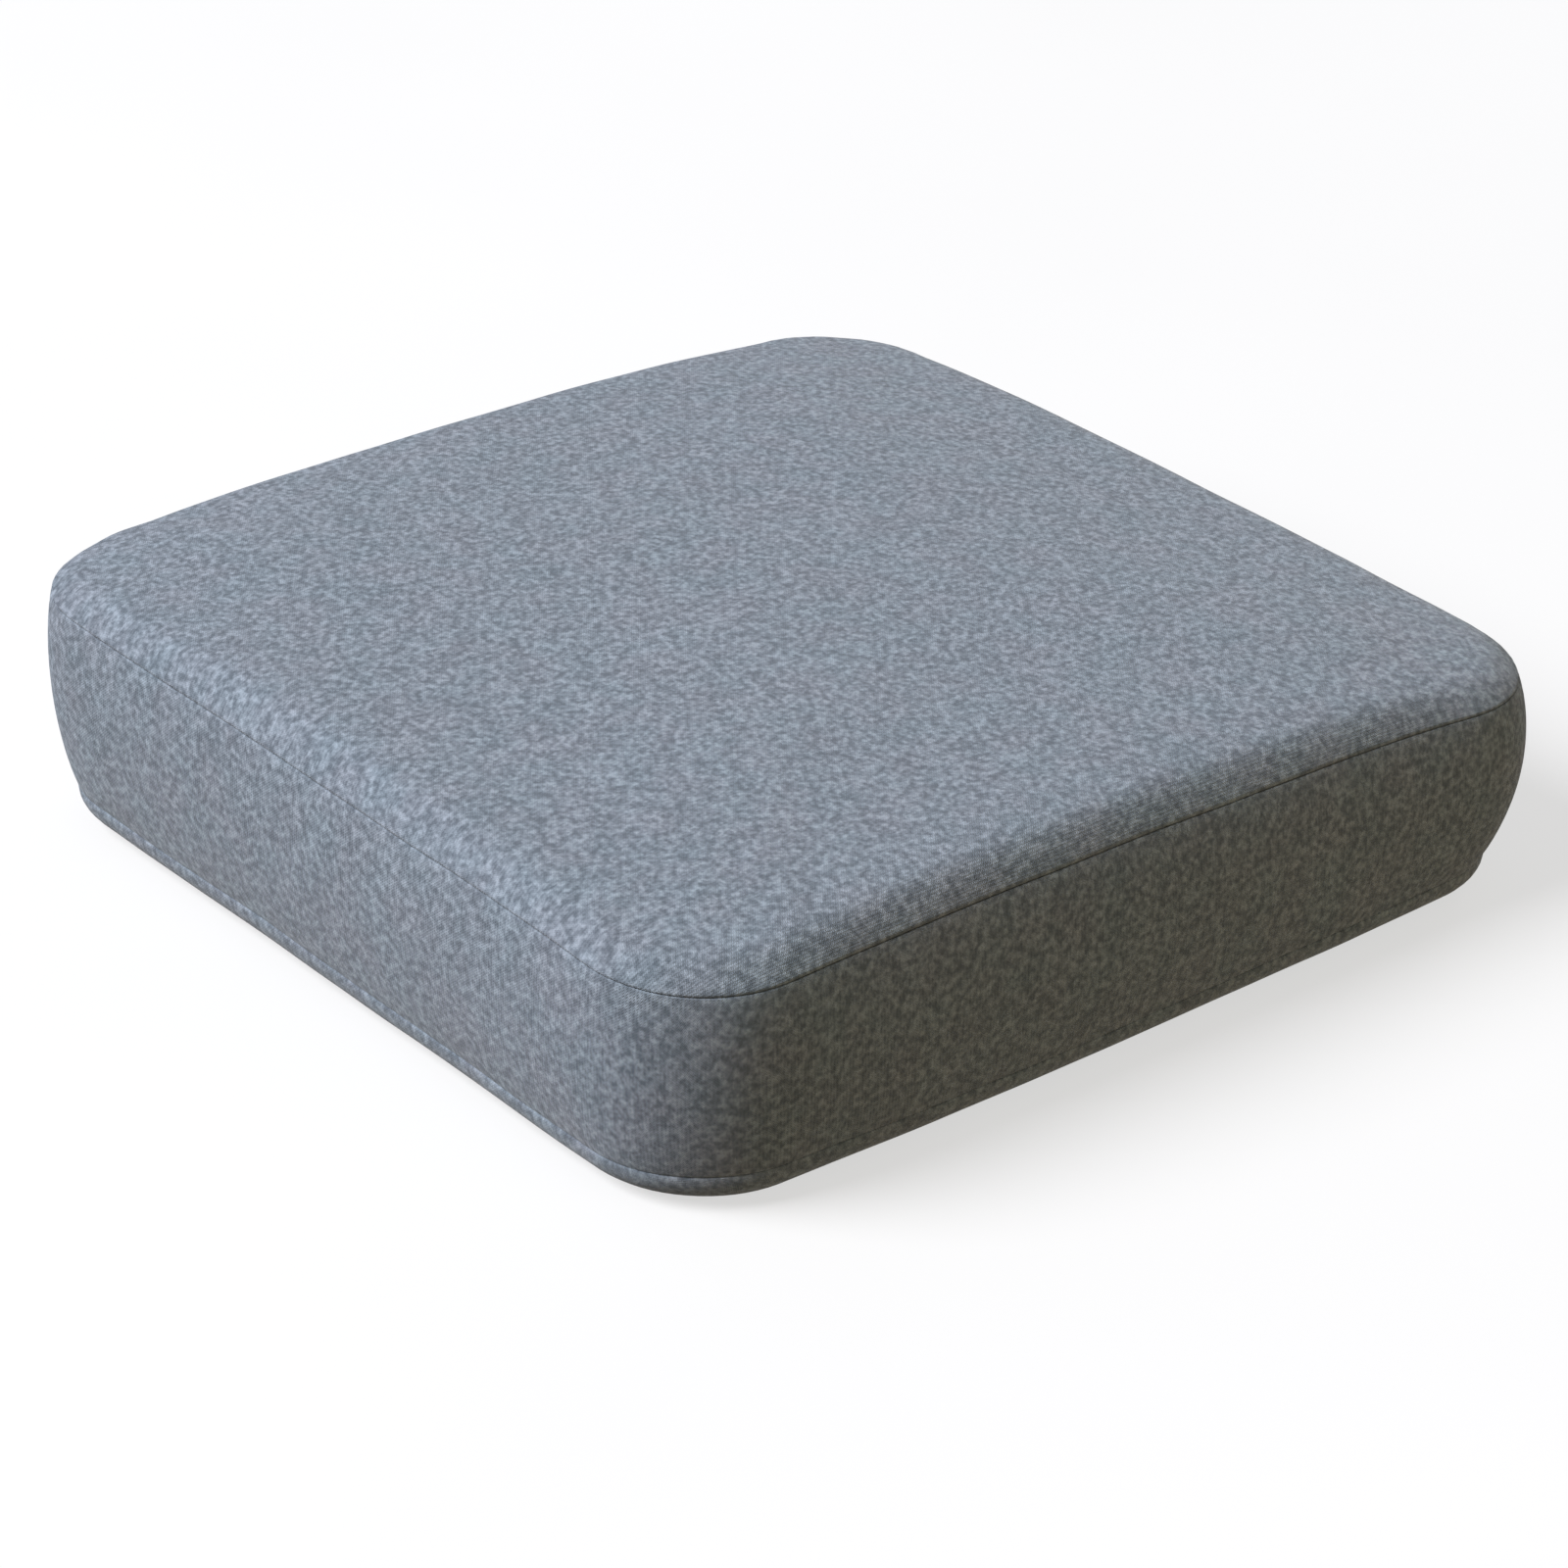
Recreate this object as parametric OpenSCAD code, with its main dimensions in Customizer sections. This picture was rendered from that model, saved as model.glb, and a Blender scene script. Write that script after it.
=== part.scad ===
// Square kneeling pad: a firm foam block with a softer comfort layer, in a liner, inside a
// boxed knit cover that unzips along the rear side. Millimetres, +Z up. The origin is the
// centre of the underside, the zip is on the +Y side and the slider closes it towards +X.

/* [Pad] */
// Width of the pad, from side to side
pad_w = 400; // [340:5:500]
// Depth of the pad, from front to rear
pad_d = 400; // [340:5:500]
// Thickness of the pad
pad_h = 100; // [90:1:130]
// Radius of the four corners, seen from above
corner_r = 48; // [36:1:60]
// Radius with which the top and bottom panels roll over the edge to their seams
roll_r = 14; // [12:1:16]

/* [Foam] */
// Thickness of the soft comfort layer on top of the firm base
comfort_h = 30; // [20:1:34]
// Thickness of the liner bag round the foam
liner_t = 0.6; // [0.4:0.1:0.8]

/* [Cover] */
// Thickness of the knit fabric
fabric_t = 1.6; // [1.2:0.1:1.8]
// Width of the seam allowances inside the cover
allowance = 10; // [8:1:12]
// Diameter of the sewing thread
thread_d = 0.8; // [0.4:0.1:0.8]
// Spacing of the rows of grip dots under the pad
dot_pitch = 32; // [28:1:48]
// Diameter of a grip dot
dot_d = 5; // [3:0.5:8]

/* [Zip] */
// Distance from one zip tooth to the next
tooth_pitch = 2.5; // [2:0.1:3]
// Width of each zip tape
tape_w = 15; // [13:1:16]
// Gap between the two fabric edges that the zip shows in
zip_gap = 10; // [10:0.5:12]
// Length of the pull tab, from its crossbar to its tip
tab_l = 25; // [20:1:32]

/* [Hidden] */
$fn = 64;

knit = [0.53, 0.56, 0.60];
thread_grey = [0.40, 0.42, 0.45];
foam_yellow = [0.93, 0.89, 0.72];
foam_white = [0.95, 0.95, 0.93];
liner_white = [0.97, 0.97, 0.97];
zip_grey = [0.36, 0.38, 0.41];
zip_metal = [0.55, 0.55, 0.57];
label_white = [0.94, 0.94, 0.94];
rubber_grey = [0.20, 0.21, 0.22];

half_x = pad_w / 2 - corner_r;     // centres of the corner arcs
half_y = pad_d / 2 - corner_r;
face_y = pad_d / 2;                // outer face of the rear side
top_seam_z = pad_h - roll_r;
bottom_seam_z = roll_r;
fit = 0.2;                         // room between one soft layer and the next
groove_r = thread_d;               // rounded groove along each seam, which the thread lies in
rim_w = 6;                         // the bottom panel's rim, which stands as low as the grip dots
dot_h = 0.5;
eps = 0.01;

// Layers inside the cover, as distances from its outer face
liner_inset = fabric_t + fit;
foam_inset = liner_inset + liner_t + fit;
comfort_z = pad_h - foam_inset - comfort_h;

// The zip, seen on the rear face: x along it, z across it, y out of the face
zip_z = pad_h / 2;
tape_t = 0.6;
tape_y = face_y - 2 * fabric_t - tape_t;       // inner face of the tapes, under the hems
tooth_y = tape_y + tape_t;                     // the teeth stand on the tapes' outer face
tooth_h = 2.4;
tooth_len = 2.5;
tooth_w = 1.6;
divider_gap = 1.8;                             // between the two rows, for the slider's divider
zip_end_x = half_x - 1;                        // the chain's ends, just inside the placket seams
teeth_per_row = floor(2 * (zip_end_x - 1) / tooth_pitch) - 1;
hem_w = 10;

// The slider, at its closed place
slider_x = half_x - 14;
slider_l = 13;
slider_front_w = 9.4;
slider_rear_w = 8.6;
wing_t = 1.2;
slider_fit = 0.3;
outer_wing_y = tooth_y + tooth_h + slider_fit;
inner_wing_y = tape_y - slider_fit - wing_t;
slider_top_y = outer_wing_y + wing_t;
bridge_l = 9;
bridge_w = 2;
bridge_t = 1.2;
bridge_clear = 2;                              // height of the bridge's window
crossbar_r = 0.7;
crossbar_y = slider_top_y + slider_fit + crossbar_r;
tab_w = 6;

// The label, which hangs from the rear's top seam, 27 mm in from the zip's open end
label_w = 30;
label_x = 27 + label_w / 2 - half_x;
label_t = 0.5;
label_drop = 25;

// ---- Shared forms ----

// Sweeps a 2D profile round the pad. The profile's x is the distance out from the centre of a
// corner's arc and its y is the height. Sides are 0 right, 1 rear, 2 left and 3 front.
module swept(sides = [0, 1, 2, 3]) {
    for (s = sides) {
        along_y = s % 2 == 0;
        out = along_y ? half_x : half_y;
        half_len = along_y ? half_y : half_x;
        rotate([0, 0, 90 * s])
            translate([out, half_len, 0])
                rotate([90, 0, 0])
                    linear_extrude(2 * half_len) children();
    }
    for (s = [0, 1, 2, 3]) {
        sx = s == 0 || s == 3 ? 1 : -1;
        sy = s < 2 ? 1 : -1;
        translate([sx * half_x, sy * half_y, 0])
            rotate([0, 0, 90 * s])
                rotate_extrude(angle = 90) children();
    }
}

// Sweeps a profile along the rear side only
module swept_rear() {
    translate([half_x, half_y, 0])
        rotate([90, 0, 90])
            mirror([0, 0, 1])
                linear_extrude(2 * half_x) children();
}

// The block between the four corner arcs, which fills the middle of a swept profile
module core(z0, z1) {
    translate([-half_x, -half_y, z0]) cube([2 * half_x, 2 * half_y, z1 - z0]);
}

// Profile of a layer that fills the cover out to the given inset, with rolled edges and a
// notch at each seam where the seam allowances press in
module slab_profile(inset) {
    r = roll_r - inset;
    far = corner_r - inset;
    notch = inset + 2 * fabric_t;
    margin = inset - fabric_t;
    difference() {
        union() {
            translate([0, inset + r]) square([far, pad_h - 2 * (inset + r)]);
            translate([0, inset]) square([far - r, pad_h - 2 * inset]);
            for (z = [roll_r, pad_h - roll_r])
                translate([far - r, z]) circle(r);
        }
        for (s = [0, 1])
            translate([corner_r - notch, s * pad_h])
                mirror([0, s])
                    translate([0, roll_r - fabric_t - margin])
                        square([notch + 1, allowance + fabric_t + 2 * margin]);
    }
}

// A solid layer with that profile, between two heights
module slab(inset, z0, z1) {
    intersection() {
        union() {
            swept() slab_profile(inset);
            core(inset, pad_h - inset);
        }
        translate([-pad_w, -pad_d, z0]) cube([2 * pad_w, 2 * pad_d, z1 - z0]);
    }
}

// What the zip takes out of the layers behind it, grown by a clearance
module zip_recess(grow) {
    hem_half = max(divider_gap / 2 + tape_w, zip_gap / 2 + hem_w) + fit + grow;
    run_half = slider_front_w / 2 + 2 * slider_fit + grow;
    depth_tape = face_y - tape_y + fit + grow;
    depth_run = face_y - inner_wing_y + slider_fit + grow;
    translate([-half_x - grow, face_y - depth_tape, zip_z - hem_half])
        cube([2 * (half_x + grow), depth_tape + 1, 2 * hem_half]);
    translate([-half_x - grow, face_y - depth_run, zip_z - run_half])
        cube([2 * (half_x + grow), depth_run + 1, 2 * run_half]);
}

// Rounded groove for the thread, as a profile at a seam
module groove_profile(z) {
    translate([corner_r, z]) circle(groove_r);
}

// Vertical grooves where the plackets meet the side band
module placket_end_grooves() {
    for (s = [-1, 1])
        translate([s * half_x, face_y, 0]) cylinder(h = pad_h, r = groove_r);
}

// Fabric from the bottom seam to the top seam, with its folded allowances
module band_profile() {
    difference() {
        union() {
            translate([corner_r - fabric_t, bottom_seam_z])
                square([fabric_t, top_seam_z - bottom_seam_z]);
            for (z = [bottom_seam_z, top_seam_z - allowance])
                translate([corner_r - 2 * fabric_t, z]) square([2 * fabric_t, allowance]);
        }
        groove_profile(top_seam_z);
        groove_profile(bottom_seam_z);
    }
}

// The edge of the top or bottom panel, drawn for the top: it rolls over to its seam, then
// folds in and down inside the band
module panel_edge_profile() {
    fold_x = corner_r - 3 * fabric_t;
    difference() {
        union() {
            translate([corner_r - roll_r, top_seam_z])
                intersection() {
                    difference() {
                        circle(roll_r);
                        circle(roll_r - fabric_t);
                    }
                    square(roll_r);
                }
            translate([fold_x, top_seam_z]) square([3 * fabric_t - groove_r / 2, fabric_t]);
            translate([fold_x, top_seam_z - allowance + fabric_t])
                square([fabric_t, allowance]);
        }
        groove_profile(top_seam_z);
    }
}

// One straight run of stitches or teeth is a row of copies of the child along x
module row(count, pitch) {
    for (i = [0 : count - 1])
        translate([(i - (count - 1) / 2) * pitch, 0, 0]) children();
}

// Turns a piece above the zip into its partner below the zip
module below_zip() {
    translate([0, 0, pad_h]) mirror([0, 0, 1]) children();
}

// ---- Foam and liner ----

module foam_base() {
    color(foam_yellow)
        difference() {
            slab(foam_inset, 0, comfort_z);
            zip_recess(liner_t + fit);
        }
}

module foam_comfort_layer() {
    color(foam_white)
        difference() {
            slab(foam_inset, comfort_z, pad_h);
            zip_recess(liner_t + fit);
        }
}

module foam_liner() {
    color(liner_white)
        difference() {
            slab(liner_inset, 0, pad_h);
            zip_recess(0);
            difference() {
                slab(liner_inset + liner_t, 0, pad_h);
                zip_recess(liner_t);
            }
        }
}

// ---- Cover ----

module top_panel() {
    color(knit) {
        swept() {
            panel_edge_profile();
            translate([0, pad_h - fabric_t]) square([corner_r - roll_r, fabric_t]);
        }
        core(pad_h - fabric_t, pad_h);
    }
}

module bottom_panel() {
    plate_x = corner_r - roll_r - rim_w;
    color(knit) {
        swept() {
            translate([0, pad_h]) mirror([0, 1]) panel_edge_profile();
            translate([plate_x, 0]) square([rim_w, fabric_t]);
            translate([0, dot_h]) square([plate_x, fabric_t - dot_h]);
        }
        core(dot_h, fabric_t);
    }
}

module side_band() {
    color(knit)
        difference() {
            swept([0, 2, 3]) band_profile();
            placket_end_grooves();
        }
}

// One strip of the rear side, from the top seam down to its hem beside the zip
module placket() {
    hem_z = zip_z + zip_gap / 2;
    difference() {
        swept_rear() difference() {
            union() {
                band_profile();
                translate([corner_r - 2 * fabric_t, hem_z]) square([2 * fabric_t, hem_w]);
            }
            translate([0, -eps]) square([corner_r + 1, hem_z + eps]);
        }
        placket_end_grooves();
    }
}

module rear_placket_upper() {
    color(knit) placket();
}

module rear_placket_lower() {
    color(knit) below_zip() placket();
}

// ---- Threads ----

module seam_thread(z) {
    color(thread_grey)
        swept() translate([corner_r - thread_d / 2, z]) circle(thread_d / 2);
}

module placket_end_threads() {
    clear = 2 * thread_d;
    color(thread_grey)
        for (s = [-1, 1])
            translate([s * half_x, face_y - thread_d / 2, bottom_seam_z + clear])
                cylinder(h = top_seam_z - bottom_seam_z - 2 * clear, r = thread_d / 2);
}

// Stitches that hold a placket's hem down on the tape
module zip_topstitch() {
    stitch_l = 2.8;
    stitch_pitch = 4;
    stitch_from_hem = 3;
    end_margin = 4;
    count = floor(2 * (half_x - end_margin) / stitch_pitch);
    color(thread_grey)
        translate([0, face_y, zip_z + zip_gap / 2 + stitch_from_hem])
            row(count, stitch_pitch)
                translate([-stitch_l / 2, 0, 0])
                    rotate([90, 0, 90])
                        linear_extrude(stitch_l) half_round(thread_d / 2);
}

// The half of a circle that lies on the positive side of x
module half_round(r) {
    intersection() {
        circle(r);
        translate([0, -r]) square([r, 2 * r]);
    }
}

module zip_end_bartacks() {
    tack_d = 0.7;
    tack_half = zip_gap / 2 - 0.6;
    color(thread_grey)
        for (s = [-1, 1], i = [-1, 0, 1])
            translate([s * (zip_end_x - 4) + i * tack_d, tooth_y + tooth_h + tack_d / 2,
                       zip_z - tack_half])
                cylinder(h = 2 * tack_half, r = tack_d / 2);
}

// ---- Zip ----

module zip_tape() {
    color(zip_grey)
        translate([-zip_end_x, tape_y, zip_z + divider_gap / 2])
            cube([2 * zip_end_x, tape_t, tape_w]);
}

// Each tooth is a loop of the coil, seen end on as an upright oval
module zip_teeth(shift) {
    color(zip_grey)
        translate([shift, tooth_y + tooth_h / 2, zip_z + divider_gap / 2])
            row(teeth_per_row, tooth_pitch)
                linear_extrude(tooth_len) {
                    square([tooth_w, tooth_h - tooth_w], center = true);
                    for (s = [-1, 1])
                        translate([0, s * (tooth_h - tooth_w) / 2]) circle(tooth_w / 2);
                }
}

// Turns an outline drawn in x and z into a plate that is t thick, standing out from y
module plate_at(y, t) {
    translate([0, y + t, zip_z]) rotate([90, 0, 0]) linear_extrude(t) children();
}

// Outline of the slider's wings: wide at the mouth that takes the two open rows in
module wing_outline() {
    nose = 1.2;
    polygon([
        [-slider_l / 2, slider_rear_w / 2 - nose], [nose - slider_l / 2, slider_rear_w / 2],
        [slider_l / 2 - nose, slider_front_w / 2], [slider_l / 2, slider_front_w / 2 - nose],
        [slider_l / 2, nose - slider_front_w / 2], [slider_l / 2 - nose, -slider_front_w / 2],
        [nose - slider_l / 2, -slider_rear_w / 2], [-slider_l / 2, nose - slider_rear_w / 2]
    ]);
}

module zip_slider() {
    flange_t = 0.7;
    flange_y = tape_y + tape_t + slider_fit;
    divider_l = 3.5;
    divider_t = divider_gap - 2 * slider_fit;
    color(zip_metal)
        translate([slider_x, 0, 0]) {
            plate_at(inner_wing_y, wing_t) wing_outline();
            plate_at(outer_wing_y, wing_t) wing_outline();
            // Flanges down both sides of the outer wing, which keep the teeth in
            plate_at(flange_y, outer_wing_y - flange_y + eps)
                difference() {
                    wing_outline();
                    square([slider_l + 2, slider_rear_w - 2 * flange_t], center = true);
                }
            // Divider between the two rows, which joins the wings
            translate([slider_l / 2 - divider_l - 0.5, inner_wing_y + eps, zip_z - divider_t / 2])
                cube([divider_l, slider_top_y - inner_wing_y - 2 * eps, divider_t]);
            slider_bridge();
        }
}

// Arch along the slider's back, which holds the pull tab's crossbar
module slider_bridge() {
    height = bridge_clear + bridge_t;
    round_r = 1.6;
    translate([0, slider_top_y, zip_z - bridge_w / 2])
        linear_extrude(bridge_w)
            difference() {
                union() {
                    translate([-bridge_l / 2, -eps])
                        square([bridge_l, height - round_r + eps]);
                    translate([round_r - bridge_l / 2, -eps])
                        square([bridge_l - 2 * round_r, height + eps]);
                    for (s = [-1, 1])
                        translate([s * (bridge_l / 2 - round_r), height - round_r])
                            circle(round_r);
                }
                translate([bridge_t - bridge_l / 2, 0])
                    square([bridge_l - 2 * bridge_t, bridge_clear]);
            }
}

module zip_pull_tab() {
    window_l = 5.4;
    window_w = bridge_w + 2 * slider_fit;
    slot_l = 7;
    slot_w = 2.4;
    tip_x = -tab_l + tab_w / 2;
    slot_x = tip_x + 0.5;
    color(zip_metal)
        translate([slider_x, 0, 0]) {
            plate_at(crossbar_y - crossbar_r, 2 * crossbar_r)
                difference() {
                    union() {
                        translate([tip_x, -tab_w / 2]) square([-tip_x, tab_w]);
                        translate([tip_x, 0]) circle(tab_w / 2);
                    }
                    translate([-window_l, -window_w / 2]) square([window_l + 1, window_w]);
                    translate([slot_x, -slot_w / 2]) square([slot_l - slot_w, slot_w]);
                    for (x = [slot_x, slot_x + slot_l - slot_w])
                        translate([x, 0]) circle(slot_w / 2);
                }
            translate([0, crossbar_y, zip_z - tab_w / 2]) cylinder(h = tab_w, r = crossbar_r);
        }
}

// ---- Label and grip ----

module care_label() {
    color(label_white)
        translate([label_x - label_w / 2, face_y, top_seam_z - groove_r - label_drop])
            cube([label_w, label_t, label_drop]);
}

module grip_dots() {
    reach = min(half_x, half_y) + corner_r - roll_r - rim_w - dot_d;
    n = floor(reach / dot_pitch);
    color(rubber_grey)
        for (shift = [0, 0.5], i = [-n : n], j = [-n : n]) {
            p = [(i + shift) * dot_pitch, (j + shift) * dot_pitch];
            in_corner = abs(p.x) > half_x - dot_d && abs(p.y) > half_y - dot_d;
            if (max(abs(p.x), abs(p.y)) < reach && !in_corner)
                translate([p.x, p.y, 0]) cylinder(h = dot_h, r = dot_d / 2);
        }
}

foam_base();
foam_comfort_layer();
foam_liner();
top_panel();
side_band();
bottom_panel();
rear_placket_upper();
rear_placket_lower();
seam_thread(top_seam_z);  // top_seam_thread
seam_thread(bottom_seam_z);  // bottom_seam_thread
placket_end_threads();
zip_tape();  // zip_tape_upper
below_zip() zip_tape();  // zip_tape_lower
zip_teeth(-tooth_pitch / 4);  // zip_teeth_upper
below_zip() zip_teeth(tooth_pitch / 4);  // zip_teeth_lower
zip_topstitch();  // zip_topstitch_upper
below_zip() zip_topstitch();  // zip_topstitch_lower
zip_end_bartacks();
zip_slider();
zip_pull_tab();
care_label();
grip_dots();
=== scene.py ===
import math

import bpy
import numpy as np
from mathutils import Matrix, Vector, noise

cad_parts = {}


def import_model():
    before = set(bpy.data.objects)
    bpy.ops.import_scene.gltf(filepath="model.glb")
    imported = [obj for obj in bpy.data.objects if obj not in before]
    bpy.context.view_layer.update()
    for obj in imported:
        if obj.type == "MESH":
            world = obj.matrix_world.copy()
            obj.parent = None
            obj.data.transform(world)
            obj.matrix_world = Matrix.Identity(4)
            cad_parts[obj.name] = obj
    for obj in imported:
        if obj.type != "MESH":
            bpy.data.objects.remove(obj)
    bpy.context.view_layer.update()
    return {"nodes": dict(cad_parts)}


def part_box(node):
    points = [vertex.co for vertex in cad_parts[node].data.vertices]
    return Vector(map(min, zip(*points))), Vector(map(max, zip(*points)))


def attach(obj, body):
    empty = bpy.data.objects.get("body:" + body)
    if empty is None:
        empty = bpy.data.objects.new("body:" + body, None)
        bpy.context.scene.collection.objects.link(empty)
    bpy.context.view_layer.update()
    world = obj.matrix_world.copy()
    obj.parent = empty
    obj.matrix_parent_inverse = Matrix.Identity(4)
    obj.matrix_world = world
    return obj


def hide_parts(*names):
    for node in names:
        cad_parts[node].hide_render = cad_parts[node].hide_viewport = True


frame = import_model()

# Kneeling pad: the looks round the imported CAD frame. Metres, +Z up, zip on the +Y side.
# The cover starts as one skin in three patches: the top's flat part, a strip round the sides
# that reaches from the top's roll to the bottom's, and the bottom's flat part. A cloth
# simulation swells the skin and settle() gives it its sag and unevenness. The cover, the
# liner, the foam, the seams' threads and the label are then sampled from these patches.

# ---- Places taken from the frame ----

TOP_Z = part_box("top_panel")[1].z
TOP_SEAM_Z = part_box("side_band")[1].z
BOTTOM_SEAM_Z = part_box("side_band")[0].z
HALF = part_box("side_band")[1].x
ARC_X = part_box("rear_placket_upper")[1].x          # where the corner arcs begin
CORNER_R = HALF - ARC_X
HEM_HIGH_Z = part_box("rear_placket_upper")[0].z     # the two hems beside the zip
HEM_LOW_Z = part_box("rear_placket_lower")[1].z
ZIP_Z = (HEM_HIGH_Z + HEM_LOW_Z) / 2
STITCH_HIGH_Z = (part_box("zip_topstitch_upper")[0].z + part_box("zip_topstitch_upper")[1].z) / 2
STITCH_LOW_Z = (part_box("zip_topstitch_lower")[0].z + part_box("zip_topstitch_lower")[1].z) / 2
LABEL_LOW, LABEL_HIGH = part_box("care_label")
FOAM_SPLIT_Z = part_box("foam_comfort_layer")[0].z
DOT_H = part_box("grip_dots")[1].z

# ---- Sizes of the cloth ----

# The top's edge, out of the seam and over: (how far in, how far up) from the seam.
TOP_EDGE = np.array([(0, 0), (1.2, 2.8), (2.5, 5.4), (4.1, 8.0), (6.0, 10.3), (7.8, 12.0),
                     (10.0, 13.1), (13.0, 13.8), (17.0, 14.2), (23.0, 14.5)]) / 1000
BOTTOM_ROLL = 0.017      # how far in from its seam the bottom's roll begins
CROWN = 0.0045           # how far the top's middle swells above its edge
SWELL = 0.0010           # how far the simulation may swell the sides
SIDE_BULGE = 0.0030      # how far settle() brings them out between their seams
UNEVEN = -0.1            # share of that added at the right rear, and taken off opposite
FULL_CORNER = 0.0042     # how far the right rear corner stands out at the top seam
BELLY = 0.0048           # how far the middle of the right side stands out at the bottom seam
SEAM_DROOP = 0.0048      # how far the top seam sinks at the right corners
REAR_SAG = 0.0020        # how far the top sinks along the rear
CORNER_DROOP = 0.0122    # how far the top's corners sink
DROOP_POWER = 2.3        # how closely that keeps to the corners
TAPER = 0.0035           # how far the bottom draws in from the top
LIFT_X = -0.014          # rise of the top per metre to the right
LIFT_Y = -0.018          # and to the rear
WAVES = [(0.085, 0.0008), (0.032, 0.0003)]         # (size, height) of the cloth's unevenness
# The zip holds the rear side in its shape. Where its hold fades, or begins:
ZIP_HOLD_Z = (0.018, 0.036)                        # fades up and down from the zip
ZIP_HOLD_X = (ARC_X + 0.002, HALF - 0.014)         # fades towards the corners
ZIP_HOLD_Y = (0.12, HALF - 0.004)                  # begins towards the rear

# ---- The skin before it swells ----

CELLS = 84               # cells along each side of a patch
RING = 4 * CELLS
TOP_ROWS = 9             # rows of the strip round the sides: in the top's roll,
SIDE_ROWS = 14           # on the side band
BOTTOM_ROWS = 5          # and in the bottom's roll
TOP_SEAM = TOP_ROWS
BOTTOM_SEAM = TOP_ROWS + SIDE_ROWS
LAST_ROW = BOTTOM_SEAM + BOTTOM_ROWS
SPLIT = ARC_X / (ARC_X + CORNER_R * math.pi / 4)   # share of a side that is straight
ROW_STEP = (TOP_SEAM_Z - BOTTOM_SEAM_Z) / SIDE_ROWS
COLUMN_STEP = 2 * ARC_X / SPLIT / CELLS
MESH_STEP = 0.5          # grid steps between the points of a finished piece of the cover
SIM_FRAMES = 20


def ring_point(c, straight, radius, split):
    """A point of a rounded square ring, at ring coordinate c: each side has CELLS of them,
    from the middle of one corner's arc to the middle of the next, the front side first."""
    side = int(c // CELLS) % 4
    t = 2 * (c % CELLS) / CELLS - 1
    if abs(t) <= split:
        x, y = t / split * straight, -(straight + radius)
    else:
        turn = (abs(t) - split) / (1 - split) * math.pi / 4
        x = math.copysign(straight + radius * math.sin(turn), t)
        y = -(straight + radius * math.cos(turn))
    for _ in range(side):
        x, y = -y, x
    return x, y


def grid_to_ring(a, b, ring):
    """Ring coordinate of grid point (a, b), counted from the patch's middle."""
    if ring == 0:
        return CELLS / 2
    if b == -ring and a < ring:
        side, t = 0, a / ring
    elif a == ring and b < ring:
        side, t = 1, b / ring
    elif b == ring and a > -ring:
        side, t = 2, -a / ring
    else:
        side, t = 3, -b / ring
    return (side + (t + 1) / 2) * CELLS


def flat_grid(roll, z):
    """The flat part of a panel, inside its roll, as a square grid of points."""
    grid = np.zeros((CELLS + 1, CELLS + 1, 3))
    for i, k in np.ndindex(CELLS + 1, CELLS + 1):
        a, b = i - CELLS / 2, k - CELLS / 2
        ring = max(abs(a), abs(b))
        m = 2 * ring / CELLS
        radius = (CORNER_R - roll) * m ** 3
        straight = (HALF - roll) * m - radius
        split = straight / (straight + radius * math.pi / 4) if ring else 1
        split += (SPLIT - split) * m ** 8
        grid[i, k, :2] = ring_point(grid_to_ring(a, b, ring), straight, radius, split)
    grid[..., 2] = z
    return grid


def cubic(values, at):
    """Catmull-Rom interpolation between rows of values, at fractional row numbers."""
    before = 3 * values[0] - 3 * values[1] + values[2]
    after = 3 * values[-1] - 3 * values[-2] + values[-3]
    padded = np.concatenate([before[None], values, after[None]])
    at = np.clip(np.asarray(at, float), 0, len(values) - 1)
    base = np.minimum(at.astype(int), len(values) - 2)
    t = (at - base).reshape((-1,) + (1,) * (values.ndim - 1))
    p0, p1, p2, p3 = (padded[base + k] for k in range(4))
    return 0.5 * (2 * p1 + (p2 - p0) * t + (2 * p0 - 5 * p1 + 4 * p2 - p3) * t ** 2
                  + (3 * p1 - p0 - 3 * p2 + p3) * t ** 3)


FINE_POINTS = 400        # points along an outline while it is measured


def evenly(outline, count):
    """Points at count equal steps along an outline, and the length of a step."""
    fine = cubic(outline, np.linspace(0, len(outline) - 1, FINE_POINTS))
    steps = np.hypot(*np.diff(fine, axis=0).T)
    along = np.concatenate([[0], np.cumsum(steps)])
    at = np.linspace(0, along[-1], count + 1)
    return np.stack([np.interp(at, along, fine[:, k]) for k in (0, 1)], axis=1), at[1]


TURN = np.linspace(0, math.pi / 2, 40)
BOTTOM_EDGE = np.stack([BOTTOM_ROLL * (1 - np.cos(TURN)),
                        (BOTTOM_SEAM_Z - DOT_H) * np.sin(TURN)], axis=1)
TOP_PROFILE, TOP_STEP = evenly(TOP_EDGE, TOP_ROWS)
BOTTOM_PROFILE, BOTTOM_STEP = evenly(BOTTOM_EDGE, BOTTOM_ROWS)
TOP_ROLL = TOP_EDGE[-1, 0]
EDGE_Z = TOP_SEAM_Z + TOP_EDGE[-1, 1]


def strip_rest():
    """The strip round the sides, from the edge of the top's flat part, over its roll, down
    the side band and under to the bottom's flat part."""
    side_z = np.linspace(TOP_SEAM_Z, BOTTOM_SEAM_Z, SIDE_ROWS + 1)
    inset = np.concatenate([TOP_PROFILE[:0:-1, 0], np.zeros(SIDE_ROWS), BOTTOM_PROFILE[:, 0]])
    z = np.concatenate([TOP_SEAM_Z + TOP_PROFILE[:0:-1, 1], side_z[:-1],
                        BOTTOM_SEAM_Z - BOTTOM_PROFILE[:, 1]])
    strip = np.zeros((LAST_ROW + 1, RING, 3))
    for row, c in np.ndindex(LAST_ROW + 1, RING):
        strip[row, c, :2] = ring_point(c, ARC_X, CORNER_R - inset[row], SPLIT)
        strip[row, c, 2] = z[row]
    return strip


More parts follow.
